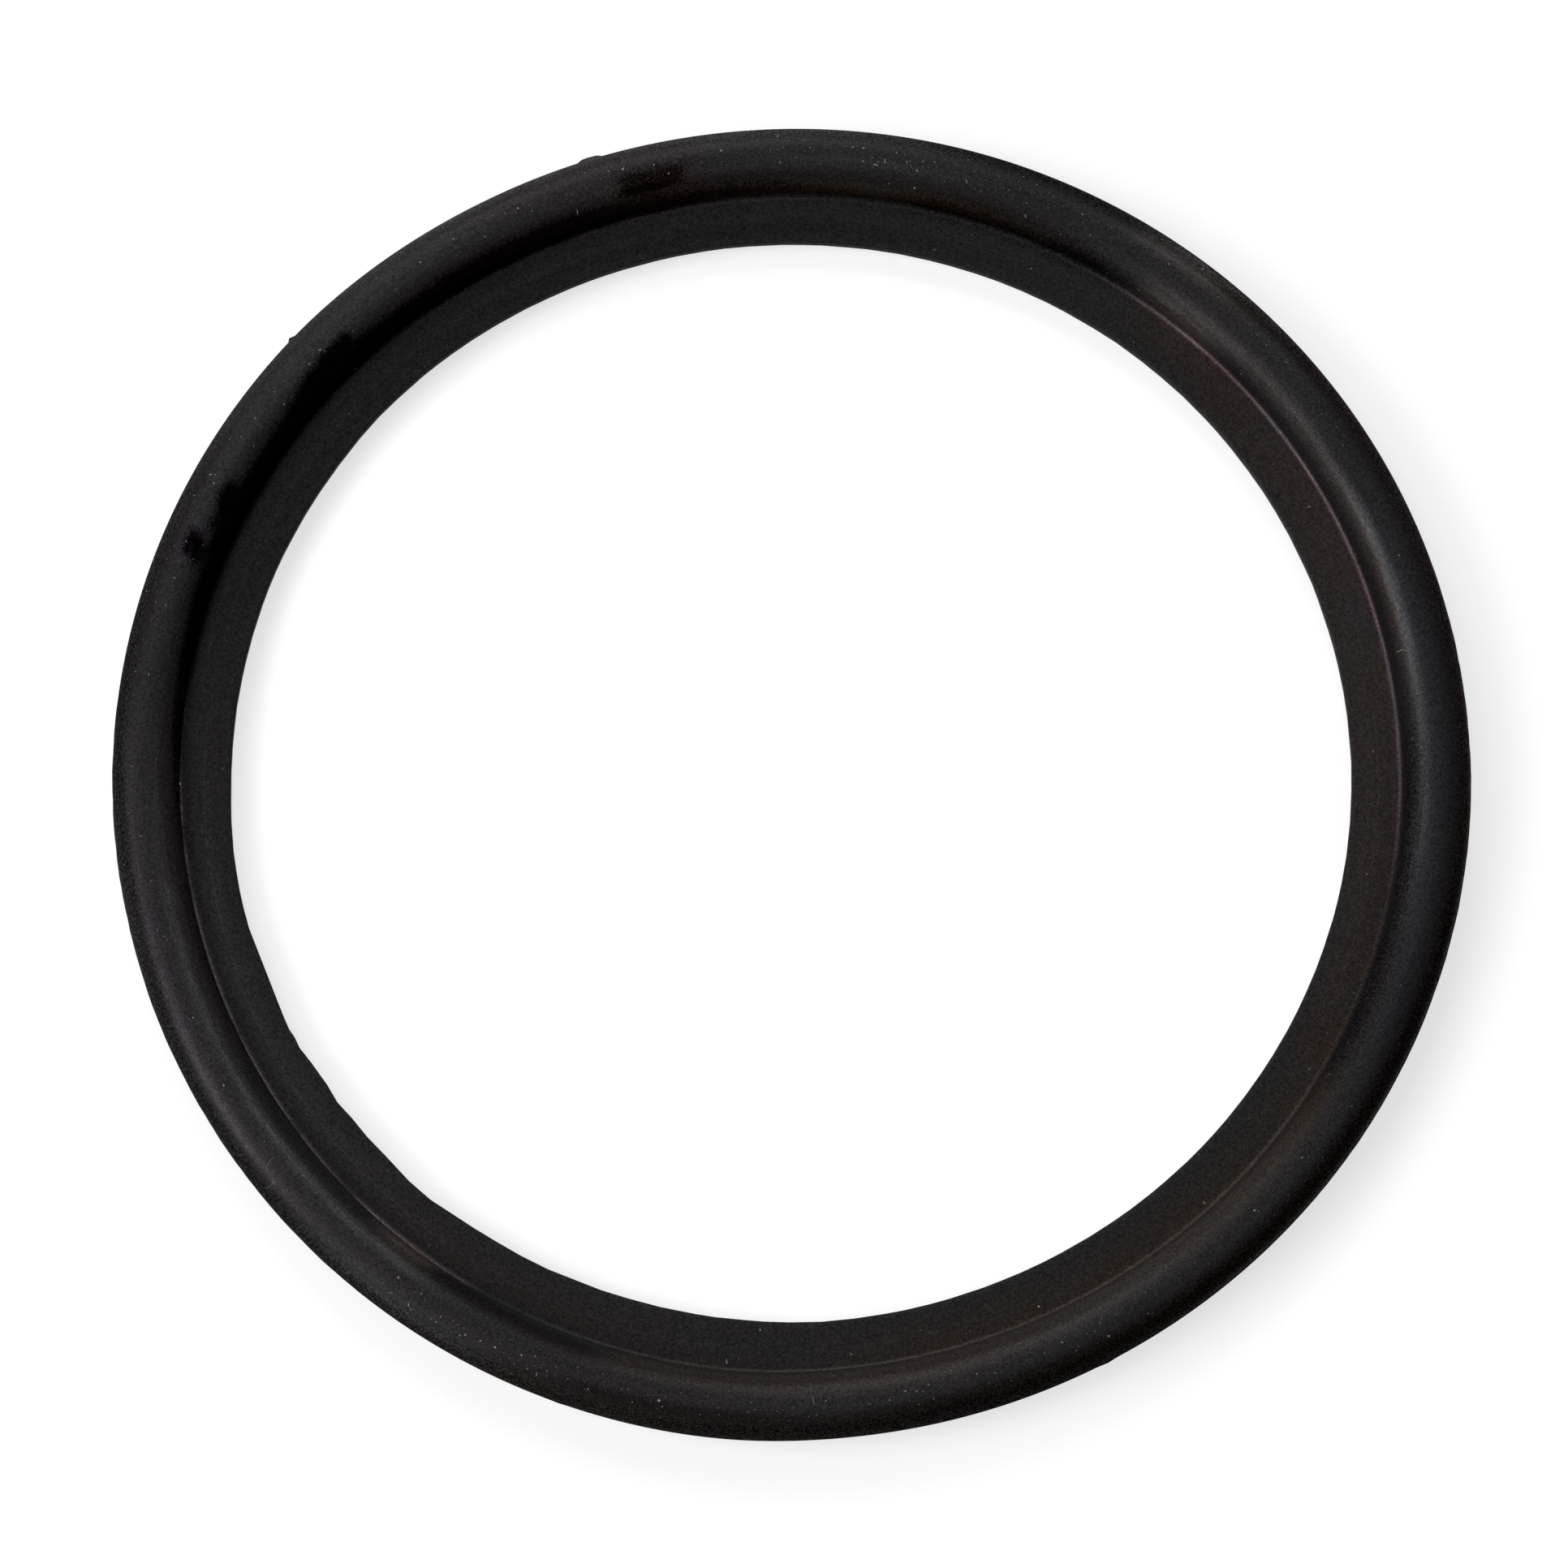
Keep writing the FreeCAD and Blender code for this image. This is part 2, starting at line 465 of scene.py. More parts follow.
blots = [
    (99.2, 3.1, 0.8, -0.88, 0.52, 0.80),
    (100.2, 2.3, 1.2, -1.50, 0.45, 0.45),
    (99.3, 3.3, 1.2, -0.28, 0.30, 0.34),
    (132.9, 1.9, 0.5, -1.00, 0.60, 0.98),
    (135.4, 2.0, 1.4, -1.12, 0.55, 0.92),
    (137.8, 2.2, 1.6, -1.28, 0.48, 0.85),
    (150.1, 1.1, 0.8, -0.92, 0.60, 0.98),
    (151.2, 2.3, 0.9, -1.16, 0.52, 0.92),
    (155.2, 0.9, 0.7, 0.10, 0.28, 0.60),
    (155.4, 1.3, 0.7, -0.28, 0.40, 0.80),
    (156.0, 1.2, 0.7, -0.95, 0.52, 0.88),
]
blot_wander = 0.035 * ripple(seed=10, lowest=60, highest=160)[:, None]
blotted = np.clip(gather(blots, power=4, wander=blot_wander), 0, blackest)
recess_shade_and_blots = np.maximum(recess_shade_and_blots, blotted)
# Painted shade on the flanks and along the root.
painted_shade_stretches = [
    (64, 11, 3, -2.60, 0.77, 0.68),
    (57.5, 2.5, 1, -2.20, 0.60, 0.18),
    (342.0, 17, 5.0, -1.90, 0.85, 0.50),
    (95, 11, 11, -2.34, 0.68, 0.85),
    (70, 14, 5, -3.12, 0.25, 0.42),
    (198, 13, 3.3, -2.21, 0.58, 0.20),
]
# Painted shade darkens the outer flank towards the underside: place in degrees, how dark, and
# how far out in millimetres this begins. A band at the front right and the lowest rim get less of
# it and keep a little more sheen.
under_corners = [
    (0, 0.7, 1.28), (25, 0.56, 1.08), (50, 0.54, 1.06), (68, 0.74, 1.01), (80, 0.34, 1.01),
    (100, 0.2, 1.0), (120, 0.12, 1.01), (140, 0.35, 1.68), (155, 0.5, 1.23), (170, 0.7, 1.22),
    (190, 0.39, 1.0), (207, 0.6, 1.56), (225, 0.62, 1.62), (250, 0.62, 1.6), (275, 0.75, 1.35),
    (300, 0.84, 1.15), (340, 0.85, 1.15),
]
underside_fade = 0.42
under_shade_share = smoothed_runs([(place, share) for place, share, depth in under_corners], spread=3.0)
under_depth = smoothed_runs([(place, depth) for place, share, depth in under_corners], spread=3.0)
below_flank = across_mm - under_depth[:, None]
underside_shade = soft_step(below_flank, -underside_fade, underside_fade) * under_shade_share[:, None]
less_shaded_band = 0.5 * stretch(345, half_length=45, fade=15, depth=2.42, spread=0.26)
less_shaded_rim = 0.8 * soft_step(across_mm, low=2.85, high=3.40)
underside_shade *= 1 - less_shaded_band
underside_shade *= 1 - less_shaded_rim
# Painted shade and dark blots together, as one value.
painted_shade_and_blots = np.clip(np.maximum(np.maximum(recess_shade_and_blots, underside_shade), gather(painted_shade_stretches)), 0, 1)

# Films on the skin, with painted tints of highlights and reflections. The last two numbers are
# how much more red and blue than green a stretch sends back, and in the painted highlights the
# last one is how much more light of every colour, as on the root's pale line of painted highlight.
film_and_painted_tint_stretches = [
    (8, 42, 1.5, -4.7, 1.2, 0.29, -0.30),
    (46, 5, 2, -5.5, 0.5, -0.22, 0.26),
    (12, 1.8, 1.5, -4.3, 0.8, -0.10, 0.28),
    (331, 11, 6, -5.7, 0.35, -0.16, 0.17),
    (290, 40, 6, -3.4, 0.3, 0.30, -0.22),
    (8, 42, 1.5, -3.6, 0.35, 0.27, -0.10),
    (300, 26, 5, -4.1, 0.72, 0.24, -0.30),
    (300, 26, 5, -5.2, 0.6, -0.04, -0.11),
    (0, 14, 8, -3.4, 0.2, 0.26, 0.40),
    (30, 22, 7, -3.4, 0.2, 0.95, 0.40),
    (288, 38, 1.3, -1.5, 0.9, 0.26, -0.33),
    (313, 11, 1.3, -0.85, 0.3, 0.20, -0.15),
    (280, 18, 5, -0.65, 0.28, 0.20, 0.04),
    (14, 28, 6, -2.1, 0.7, 0.04, -0.05),
    (24, 19, 6, -1.38, 0.42, 0.66, -0.10),
    (46.5, 4, 2, -2.2, 0.9, 0.45, -0.26),
    (47, 6, 2.5, 0.65, 0.5, 0.34, -0.28),
    (78, 16, 4, -2.3, 0.7, 0.36, -0.42),
    (228.9, 2.7, 1.9, -2.0, 1.0, 0.90, -0.50),
    (255, 16, 6, -2.0, 0.5, -0.04, 0.12),
    (222, 40, 14, 0.7, 0.6, 0.06, 0.07),
    (195, 10, 5, 0.60, 0.35, 0.42, 0.36),
    (210, 10, 5, 0.85, 0.35, 0.28, 0.24),
    (215, 24, 8, -3.35, 0.25, 0.02, -0.02),
    (182, 8, 4, 0.7, 0.35, 0.10, 0.15),
    (300, 75, 20, 2.35, 0.3, 0.60, -0.4),
    (180, 8, 5, -1.9, 0.8, 0.75, 0.25),
    (196, 8, 5, -1.4, 0.6, 0.30, 0.05),
    (1, 20, 8, -0.6, 0.42, -0.10, 0.26),
    (8, 26, 8, -0.78, 0.18, -0.08, 0.18),
    (350, 20, 8, 0.3, 0.9, -0.10, 0.16),
    (8, 40, 12, 1.7, 0.5, 0.85, -0.35),
    (308, 20, 8, 1.65, 0.5, 0.55, -0.35),
    (345, 30, 10, 2.6, 0.35, 0.35, -0.35),
    (70, 45, 20, 2.6, 0.35, 0.2, -0.12),
    (268, 28, 8, 1.5, 0.8, 0.06, -0.20),
    (240, 12, 6, -4.2, 0.4, 0.10, -0.12),
    (110, 50, 20, -4.6, 1.2, -0.12, -0.07),
    (105, 9, 6, 0.9, 0.8, 0.42, 0.04),
    (205, 40, 20, -4.2, 0.8, 0.08, 0.0),
    (265, 20, 8, -0.9, 0.5, 0.16, -0.05),
    (88, 22, 8, -2.7, 0.5, 0.30, -0.10),
    (99, 3.6, 1.2, -0.9, 0.6, 0.60, -0.20),
    (110, 17, 5, -2.3, 0.8, 1.40, 0.00),
    (155.4, 1.6, 1, -0.2, 0.5, 0.10, 0.60),
    (228, 8, 4, -3.4, 0.3, 0.06, 0.00),
    (279, 8, 5, -0.4, 0.4, 0.25, 0.0),
]
film_and_painted_light = np.ones((rows_round_the_ring, len(section), 3))
for *where, red, blue in film_and_painted_tint_stretches:
    film_and_painted_light += stretch(*where)[:, :, None] * np.array([red, 0, blue])
film_and_painted_light /= film_and_painted_light.mean(axis=2, keepdims=True)
# Painted highlights: stretches made to send back more light, as the pale line along the root.
painted_highlight_gains = [
    (20, 30, 8, -3.43, 0.15, 1.05),
    (201, 18.5, 7.5, -3.24, 0.13, 14.6),
    (183, 6, 5, -3.24, 0.13, 0.5),
    (174, 5.2, 3.5, -3.23, 0.13, 4.0),
    (242, 5, 4, -3.27, 0.16, 1.5),
    (229, 5.3, 3.3, -3.27, 0.16, 11.0),
    (46, 5, 3, -2.65, 0.8, 0.6),
    (181, 7, 4, -2.65, 0.4, 0.8),
    (286, 40, 6, -3.34, 0.20, 0.7),
]
for *where, gain in painted_highlight_gains:
    film_and_painted_light *= 1 + gain * stretch(*where)[:, :, None]

dust_stretches = [
    (88, 18, 14, 0.3, 0.8, 0.5),
    (74, 7, 6, -0.1, 0.6, 0.8),
    (112, 14, 8, -0.1, 0.5, 0.5),
    (152, 12, 9, 0.2, 0.8, 0.45),
    (198, 14, 9, 0.4, 0.8, 0.25),
    (236, 9, 6, 0.8, 0.5, 0.8),
    (262, 24, 12, 0.6, 0.6, 0.7),
    (36, 9, 6, 0.1, 0.5, 0.5),
    (60, 9, 6, 0.1, 0.6, 0.4),
    (308, 20, 9, 0.6, 0.4, 0.28),
]
least_dust = 0.03
dust = np.clip(gather(dust_stretches) + least_dust, 0, 1)


def keep_values(mesh, name, values):
    """A value or vector for each point of the skin, kept on the mesh for the material."""
    kind, field = ("FLOAT_VECTOR", "vector") if values.ndim == 3 else ("FLOAT", "value")
    layer = mesh.attributes.new(name, kind, "POINT")
    layer.data.foreach_set(field, values.astype(np.float32).ravel())


for name, values in [("sheen_and_painted_highlights", sheen_and_painted_highlights), ("painted_shade_and_blots", painted_shade_and_blots), ("film_and_painted_light", film_and_painted_light), ("dust", dust)]:
    keep_values(seal_mesh, name, values)


# The rubber's material. Its effects are node groups with named inputs and outputs.

def new_effect(name, inputs, outputs):
    """An empty shader node group: inputs and outputs are (name, socket type) pairs."""
    group = bpy.data.node_groups.new(name, "ShaderNodeTree")
    for socket_name, socket_type in inputs:
        group.interface.new_socket(socket_name, in_out="INPUT", socket_type=socket_type)
    for socket_name, socket_type in outputs:
        group.interface.new_socket(socket_name, in_out="OUTPUT", socket_type=socket_type)
    return group, group.nodes.new("NodeGroupInput"), group.nodes.new("NodeGroupOutput")


def wire(tree, socket, target):
    """Joins a node's output to an input, or writes a plain number or vector into that input."""
    if isinstance(socket, bpy.types.NodeSocket):
        tree.links.new(socket, target)
    else:
        target.default_value = socket


def calculate(tree, operation, *values):
    """A Math node's answer."""
    node = tree.nodes.new("ShaderNodeMath")
    node.operation = operation
    for slot_number, value in enumerate(values):
        wire(tree, value, node.inputs[slot_number])
    return node.outputs[0]


def calculate_vector(tree, operation, *values):
    """A Vector Math node's answer, which is a number for LENGTH, DISTANCE and DOT_PRODUCT."""
    node = tree.nodes.new("ShaderNodeVectorMath")
    node.operation = operation
    for slot_number, value in enumerate(values):
        wire(tree, value, node.inputs[slot_number])
    gives_number = operation in ("LENGTH", "DISTANCE", "DOT_PRODUCT")
    return node.outputs["Value" if gives_number else "Vector"]


def rescale(tree, value, from_low, from_high, to_low, to_high, smooth=False):
    """A Map Range node's answer."""
    node = tree.nodes.new("ShaderNodeMapRange")
    if smooth:
        node.interpolation_type = "SMOOTHSTEP"
    for slot_number, number in enumerate((value, from_low, from_high, to_low, to_high)):
        wire(tree, number, node.inputs[slot_number])
    return node.outputs[0]


def cloud(tree, vector, scale, detail, roughness=0.5):
    """A Noise Texture's value."""
    node = tree.nodes.new("ShaderNodeTexNoise")
    wire(tree, vector, node.inputs["Vector"])
    wire(tree, scale, node.inputs["Scale"])
    node.inputs["Detail"].default_value = detail
    node.inputs["Roughness"].default_value = roughness
    return node.outputs["Fac"]


def blend_colours(tree, share, first, second, way="MIX"):
    """A Mix node on colours, whose colour sockets come after those for numbers and vectors."""
    node = tree.nodes.new("ShaderNodeMix")
    node.data_type = "RGBA"
    node.blend_type = way
    share_slot, first_slot, second_slot, colour_output = 0, 6, 7, 2
    wire(tree, share, node.inputs[share_slot])
    wire(tree, first, node.inputs[first_slot])
    wire(tree, second, node.inputs[second_slot])
    return node.outputs[colour_output]


def split(tree, kind, socket):
    """The parts of a vector (kind XYZ) or of a colour (kind Color), as a node's outputs."""
    node = tree.nodes.new("ShaderNodeSeparate" + kind)
    tree.links.new(socket, node.inputs[0])
    return node.outputs


def make_rubber_grain():
    """Fine pits and lumps of the moulded skin: a noise of the grain's size plus a finer one."""
    tree, given, result = new_effect(
        "rubber_grain",
        [("Vector", "NodeSocketVector"), ("Grain Size", "NodeSocketFloat")],
        [("Height", "NodeSocketFloat"), ("Tone", "NodeSocketFloat")])
    times_finer = 2.3
    fine_share = 0.7
    per_metre = calculate(tree, "DIVIDE", 1.0, given.outputs["Grain Size"])
    fine_per_metre = calculate(tree, "MULTIPLY", per_metre, times_finer)
    coarse = cloud(tree, given.outputs["Vector"], per_metre, detail=2)
    fine = cloud(tree, given.outputs["Vector"], fine_per_metre, detail=1)
    both = calculate(tree, "ADD", coarse, calculate(tree, "MULTIPLY", fine, fine_share))
    tone = rescale(tree, both, from_low=0.6, from_high=1.1, to_low=0.0, to_high=1.0)
    tree.links.new(both, result.inputs["Height"])
    tree.links.new(tone, result.inputs["Tone"])
    return tree


def make_mould_streaks():
    """Marks of the turned mould: noise on the strip, drawn out long round the ring."""
    tree, given, result = new_effect(
        "mould_streaks",
        [("Strip", "NodeSocketVector"), ("Streak Width", "NodeSocketFloat"),
         ("Streak Length", "NodeSocketFloat")],
        [("Streaks", "NodeSocketFloat")])
    parts = split(tree, "XYZ", given.outputs["Strip"])
    squeezed = tree.nodes.new("ShaderNodeCombineXYZ")
    for part, size in (("X", "Streak Length"), ("Y", "Streak Width")):
        share = calculate(tree, "DIVIDE", parts[part], given.outputs[size])
        tree.links.new(share, squeezed.inputs[part])
    noise = cloud(tree, squeezed.outputs[0], scale=1.0, detail=3, roughness=0.6)
    streaks = rescale(tree, noise, from_low=0.3, from_high=0.7, to_low=0.0, to_high=1.0)
    tree.links.new(streaks, result.inputs["Streaks"])
    return tree


def make_dust_specks():
    """Round specks on the strip: one in each Voronoi cell, kept by chance, of chance size.

    The cell's colour gives three lots from 0 to 1: for its size, for being kept and for its
    brightness. The strip is first shifted a little by noise, so that the specks aren't quite
    round.
    """
    tree, given, result = new_effect(
        "dust_specks",
        [("Strip", "NodeSocketVector"), ("Spacing", "NodeSocketFloat"),
         ("Size", "NodeSocketFloat"), ("Chance", "NodeSocketFloat")],
        [("Mask", "NodeSocketFloat")])
    bumps_per_spacing = 9.0
    shift_by_size = 0.9
    noise_middle = (0.5, 0.5, 0.5)
    least_size = 0.25
    least_brightness = 0.25
    solid_core = 0.55
    per_metre = calculate(tree, "DIVIDE", 1.0, given.outputs["Spacing"])
    ragged = tree.nodes.new("ShaderNodeTexNoise")
    ragged.inputs["Detail"].default_value = 1
    ragged_scale = calculate(tree, "MULTIPLY", per_metre, bumps_per_spacing)
    tree.links.new(ragged_scale, ragged.inputs["Scale"])
    tree.links.new(given.outputs["Strip"], ragged.inputs["Vector"])
    shift = calculate_vector(tree, "SUBTRACT", ragged.outputs["Color"], noise_middle)
    shift_size = calculate(tree, "MULTIPLY", given.outputs["Size"], shift_by_size)
    scaled_shift = tree.nodes.new("ShaderNodeVectorMath")
    scaled_shift.operation = "SCALE"
    tree.links.new(shift, scaled_shift.inputs[0])
    tree.links.new(shift_size, scaled_shift.inputs["Scale"])
    placed = calculate_vector(tree, "ADD", given.outputs["Strip"], scaled_shift.outputs[0])
    cells = tree.nodes.new("ShaderNodeTexVoronoi")
    cells.voronoi_dimensions = "2D"
    cells.feature = "F1"
    tree.links.new(placed, cells.inputs["Vector"])
    tree.links.new(per_metre, cells.inputs["Scale"])
    size_lot, kept_lot, bright_lot = split(tree, "Color", cells.outputs["Color"])
    distance = calculate(tree, "DIVIDE", cells.outputs["Distance"], per_metre)
    size_share = calculate(tree, "MULTIPLY_ADD", calculate(tree, "POWER", size_lot, 2.0),
                           1 - least_size, least_size)
    radius = calculate(tree, "MULTIPLY", given.outputs["Size"], size_share)
    core = calculate(tree, "MULTIPLY", radius, solid_core)
    disc = rescale(tree, distance, core, radius, to_low=1.0, to_high=0.0, smooth=True)
    kept = calculate(tree, "LESS_THAN", kept_lot, given.outputs["Chance"])
    bright = calculate(tree, "MULTIPLY_ADD", bright_lot, 1 - least_brightness, least_brightness)
    mask = calculate(tree, "MULTIPLY", calculate(tree, "MULTIPLY", disc, kept), bright)
    tree.links.new(mask, result.inputs["Mask"])
    return tree


def make_turned_line():
    """A thin line round the ring: one at a given distance from the axis, fading over its width."""
    tree, given, result = new_effect(
        "turned_line",
        [("Vector", "NodeSocketVector"), ("Line Radius", "NodeSocketFloat"),
         ("Line Width", "NodeSocketFloat")],
        [("Mask", "NodeSocketFloat")])
    flat = calculate_vector(tree, "MULTIPLY", given.outputs["Vector"], (1.0, 1.0, 0.0))
    from_axis = calculate_vector(tree, "LENGTH", flat)
    away = calculate(tree, "SUBTRACT", from_axis, given.outputs["Line Radius"])
    mask = rescale(tree, calculate(tree, "ABSOLUTE", away), 0.0, given.outputs["Line Width"],
                   to_low=1.0, to_high=0.0, smooth=True)
    tree.links.new(mask, result.inputs["Mask"])
    return tree


def make_stray_fibre():
    """One fibre on the strip: near the line v = bend u squared, with u along it and v off it."""
    tree, given, result = new_effect(
        "stray_fibre",
        [("Strip", "NodeSocketVector"), ("Place", "NodeSocketVector"), ("Turn", "NodeSocketFloat"),
         ("Bend", "NodeSocketFloat"), ("Half Length", "NodeSocketFloat"),
         ("Thickness", "NodeSocketFloat")],
        [("Mask", "NodeSocketFloat")])
    away = calculate_vector(tree, "SUBTRACT", given.outputs["Strip"], given.outputs["Place"])
    turned = tree.nodes.new("ShaderNodeVectorRotate")
    turned.rotation_type = "Z_AXIS"
    tree.links.new(away, turned.inputs["Vector"])
    tree.links.new(given.outputs["Turn"], turned.inputs["Angle"])
    parts = split(tree, "XYZ", turned.outputs[0])
    squared = calculate(tree, "MULTIPLY", parts["X"], parts["X"])
    bent = calculate(tree, "MULTIPLY", squared, given.outputs["Bend"])
    off_line = calculate(tree, "SUBTRACT", parts["Y"], bent)
    thin = rescale(tree, calculate(tree, "ABSOLUTE", off_line), 0.0, given.outputs["Thickness"],
                   to_low=1.0, to_high=0.0, smooth=True)
    even_share = 0.7
    even_length = calculate(tree, "MULTIPLY", given.outputs["Half Length"], even_share)
    near = rescale(tree, calculate(tree, "ABSOLUTE", parts["X"]), even_length,
                   given.outputs["Half Length"], to_low=1.0, to_high=0.0, smooth=True)
    tree.links.new(calculate(tree, "MULTIPLY", thin, near), result.inputs["Mask"])
    return tree


def effect_node(tree, group, **values):
    """Places an effect in a material; keyword names are its inputs with spaces as underscores."""
    node = tree.nodes.new("ShaderNodeGroup")
    node.node_tree = group
    for input_name, value in values.items():
        wire(tree, value, node.inputs[input_name.replace("_", " ")])
    return node


def skin_value(tree, name, output="Fac"):
    """A value or vector kept on the mesh."""
    node = tree.nodes.new("ShaderNodeAttribute")
    node.attribute_name = name
    return node.outputs[output]


def raise_skin(tree, height, strength, distance):
    """A Bump node: a height of 1 stands out by the distance in metres."""
    node = tree.nodes.new("ShaderNodeBump")
    node.inputs["Strength"].default_value = strength
    node.inputs["Distance"].default_value = distance
    tree.links.new(height, node.inputs["Height"])
    return node


rubber = bpy.data.materials.new("black_rubber")
rubber.use_nodes = True
skin = rubber.node_tree
rubber_shader = skin.nodes["Principled BSDF"]
object_place = skin.nodes.new("ShaderNodeTexCoord").outputs["Object"]
strip_node = skin.nodes.new("ShaderNodeUVMap")
strip_node.uv_map = "strip"
strip_place = strip_node.outputs["UV"]

grain = effect_node(skin, make_rubber_grain(), Vector=object_place, Grain_Size=0.00014)
grain_tone = grain.outputs["Tone"]
streak_effect = make_mould_streaks()
long_streaks = effect_node(skin, streak_effect, Strip=strip_place,
                           Streak_Width=0.00024, Streak_Length=0.004)
fine_streaks = effect_node(skin, streak_effect, Strip=strip_place,
                           Streak_Width=0.00010, Streak_Length=0.0016)
short_streaks = effect_node(skin, streak_effect, Strip=strip_place,
                            Streak_Width=0.00035, Streak_Length=0.0021)
speck_effect = make_dust_specks()
dust_value = skin_value(skin, "dust")
second_sowing = (0.01, 0.03, 0.0)
shifted_strip = calculate_vector(skin, "ADD", strip_place, second_sowing)
large_specks = effect_node(skin, speck_effect, Strip=strip_place,
                           Spacing=0.0008, Size=0.000076, Chance=dust_value)
small_specks = effect_node(skin, speck_effect, Strip=shifted_strip,
                           Spacing=0.00036, Size=0.000046, Chance=dust_value)
line_effect = make_turned_line()
outer_line = effect_node(skin, line_effect, Vector=object_place,
                         Line_Radius=0.03295, Line_Width=0.00006)
inner_line = effect_node(skin, line_effect, Vector=object_place,
                         Line_Radius=0.03242, Line_Width=0.00007)

# Stray fibres and grains that the photograph shows: place round the ring in degrees, across the
# strip in millimetres, turn in degrees from the way round, bend per metre, half length and
# thickness in millimetres, and how bright.
fibres = [
    (216.4, 1.35, 96, 700, 0.50, 0.05, 0.19),
    (214.9, 0.55, 72, -500, 0.46, 0.06, 0.13),
    (6.9, -1.62, 92, 0, 0.30, 0.05, 0.55),
    (47.3, 1.14, 90, 0, 0.16, 0.05, 0.9),
    (63.7, -1.36, 60, 0, 0.11, 0.06, 0.7),
    (106.7, -1.42, 100, 0, 0.17, 0.05, 0.8),
    (224.9, -1.95, 90, 0, 0.35, 0.04, 0.25),
    (268.4, 0.02, 80, 350, 0.26, 0.06, 0.28),
    (260.4, -3.85, 70, 0, 0.14, 0.06, 0.6),
    (309.0, -3.82, 90, 0, 0.10, 0.05, 0.6),
    (325.4, -4.0, 90, 0, 0.09, 0.05, 0.5),
    (272.1, -4.15, 45, 0, 0.10, 0.05, 0.4),
    (358.1, -4.85, 20, 0, 0.10, 0.07, 0.35),
    (24.0, -4.4, 90, 0, 0.10, 0.06, 0.5),
    (163.2, -4.0, 0, 0, 0.14, 0.05, 0.35),
    (255.2, 0.58, 0, 0, 0.09, 0.09, 1.0),
    (232.2, 1.02, 60, 0, 0.10, 0.06, 0.8),
    (244.6, 1.12, 90, 0, 0.12, 0.05, 0.7),
    (77.6, -0.30, 75, 0, 0.14, 0.05, 0.8),
    (78.4, -0.58, 10, 0, 0.16, 0.05, 0.8),
    (69.9, -0.52, 60, 0, 0.14, 0.05, 0.7),
    (15.3, -0.02, 0, 0, 0.07, 0.06, 0.6),
    (134.0, -0.26, 30, 0, 0.08, 0.07, 0.9),
    (135.6, -0.36, 0, 0, 0.07, 0.06, 0.7),
    (149.0, 0.55, 40, 0, 0.07, 0.07, 0.8),
    (149.6, 0.10, 0, 0, 0.07, 0.06, 0.7),
    (168.0, 0.9, 90, 0, 0.08, 0.04, 0.4),
]
fibre_effect = make_stray_fibre()
fibre_share = 0.0
for place, depth, fibre_turn, bend, half_length, thickness, brightness in fibres:
    along = math.radians(place) * bead_centre_radius
    fibre = effect_node(
        skin, fibre_effect, Strip=strip_place, Place=(along, depth * millimetre, 0),
        Turn=math.radians(-fibre_turn), Bend=bend,
        Half_Length=half_length * millimetre, Thickness=thickness * millimetre)
    one_fibre = calculate(skin, "MULTIPLY", fibre.outputs["Mask"], brightness)
    fibre_share = calculate(skin, "MAXIMUM", fibre_share, one_fibre)

# Painted shade and blots take the skin grain by grain where partial: the darker grains first.
grain_contrast = -3.4
shade_and_blot_mean = skin_value(skin, "painted_shade_and_blots")
half_way = calculate(skin, "MULTIPLY", shade_and_blot_mean, calculate(skin, "SUBTRACT", 1.0, shade_and_blot_mean))
grain_offset = calculate(skin, "SUBTRACT", grain_tone, 0.5)
grain_offset = calculate(skin, "MULTIPLY", grain_offset, grain_contrast)
shade_and_blot_value = calculate(skin, "MULTIPLY_ADD", half_way, grain_offset, shade_and_blot_mean)
shade_and_blot_value = calculate(skin, "MINIMUM", calculate(skin, "MAXIMUM", shade_and_blot_value, 0.0), 1.0)
undarkened_share = calculate(skin, "SUBTRACT", 1.0, shade_and_blot_value)

# Colour: black rubber, toned by its grain, then painted shade and dark blots, dust and fibres,
# and films with painted tints and highlights, which lie in patches.
no_film = (1, 1, 1, 1)
black_rubber_colour = (0.0112, 0.0098, 0.0106, 1)
# The colour of painted shade and dark blots.
shade_and_blot_colour = (0.0010, 0.0005, 0.0006, 1)
dust_colour = (0.22, 0.22, 0.23, 1)
small_speck_brightness = 0.6
tone = rescale(skin, grain_tone, from_low=0.0, from_high=1.0, to_low=0.45, to_high=1.55)
tone_colour = skin.nodes.new("ShaderNodeCombineColor")
for channel in range(3):
    skin.links.new(tone, tone_colour.inputs[channel])
colour = blend_colours(skin, 1.0, black_rubber_colour, tone_colour.outputs[0], "MULTIPLY")
colour = blend_colours(skin, shade_and_blot_value, colour, shade_and_blot_colour)
small_share = calculate(skin, "MULTIPLY", small_specks.outputs["Mask"], small_speck_brightness)
speck_share = calculate(skin, "MAXIMUM", large_specks.outputs["Mask"], small_share)
speck_share = calculate(skin, "MAXIMUM", speck_share, fibre_share)
colour = blend_colours(skin, speck_share, colour, dust_colour)
patchy = cloud(skin, object_place, scale=480.0, detail=6, roughness=0.7)
tint_patch_share = rescale(skin, patchy, from_low=0.35, from_high=0.65, to_low=0.35, to_high=1.65)
film_and_painted_light_colour = blend_colours(skin, tint_patch_share, no_film, skin_value(skin, "film_and_painted_light", "Vector"))
colour = blend_colours(skin, 1.0, colour, film_and_painted_light_colour, "MULTIPLY")
skin.links.new(colour, rubber_shader.inputs["Base Color"])

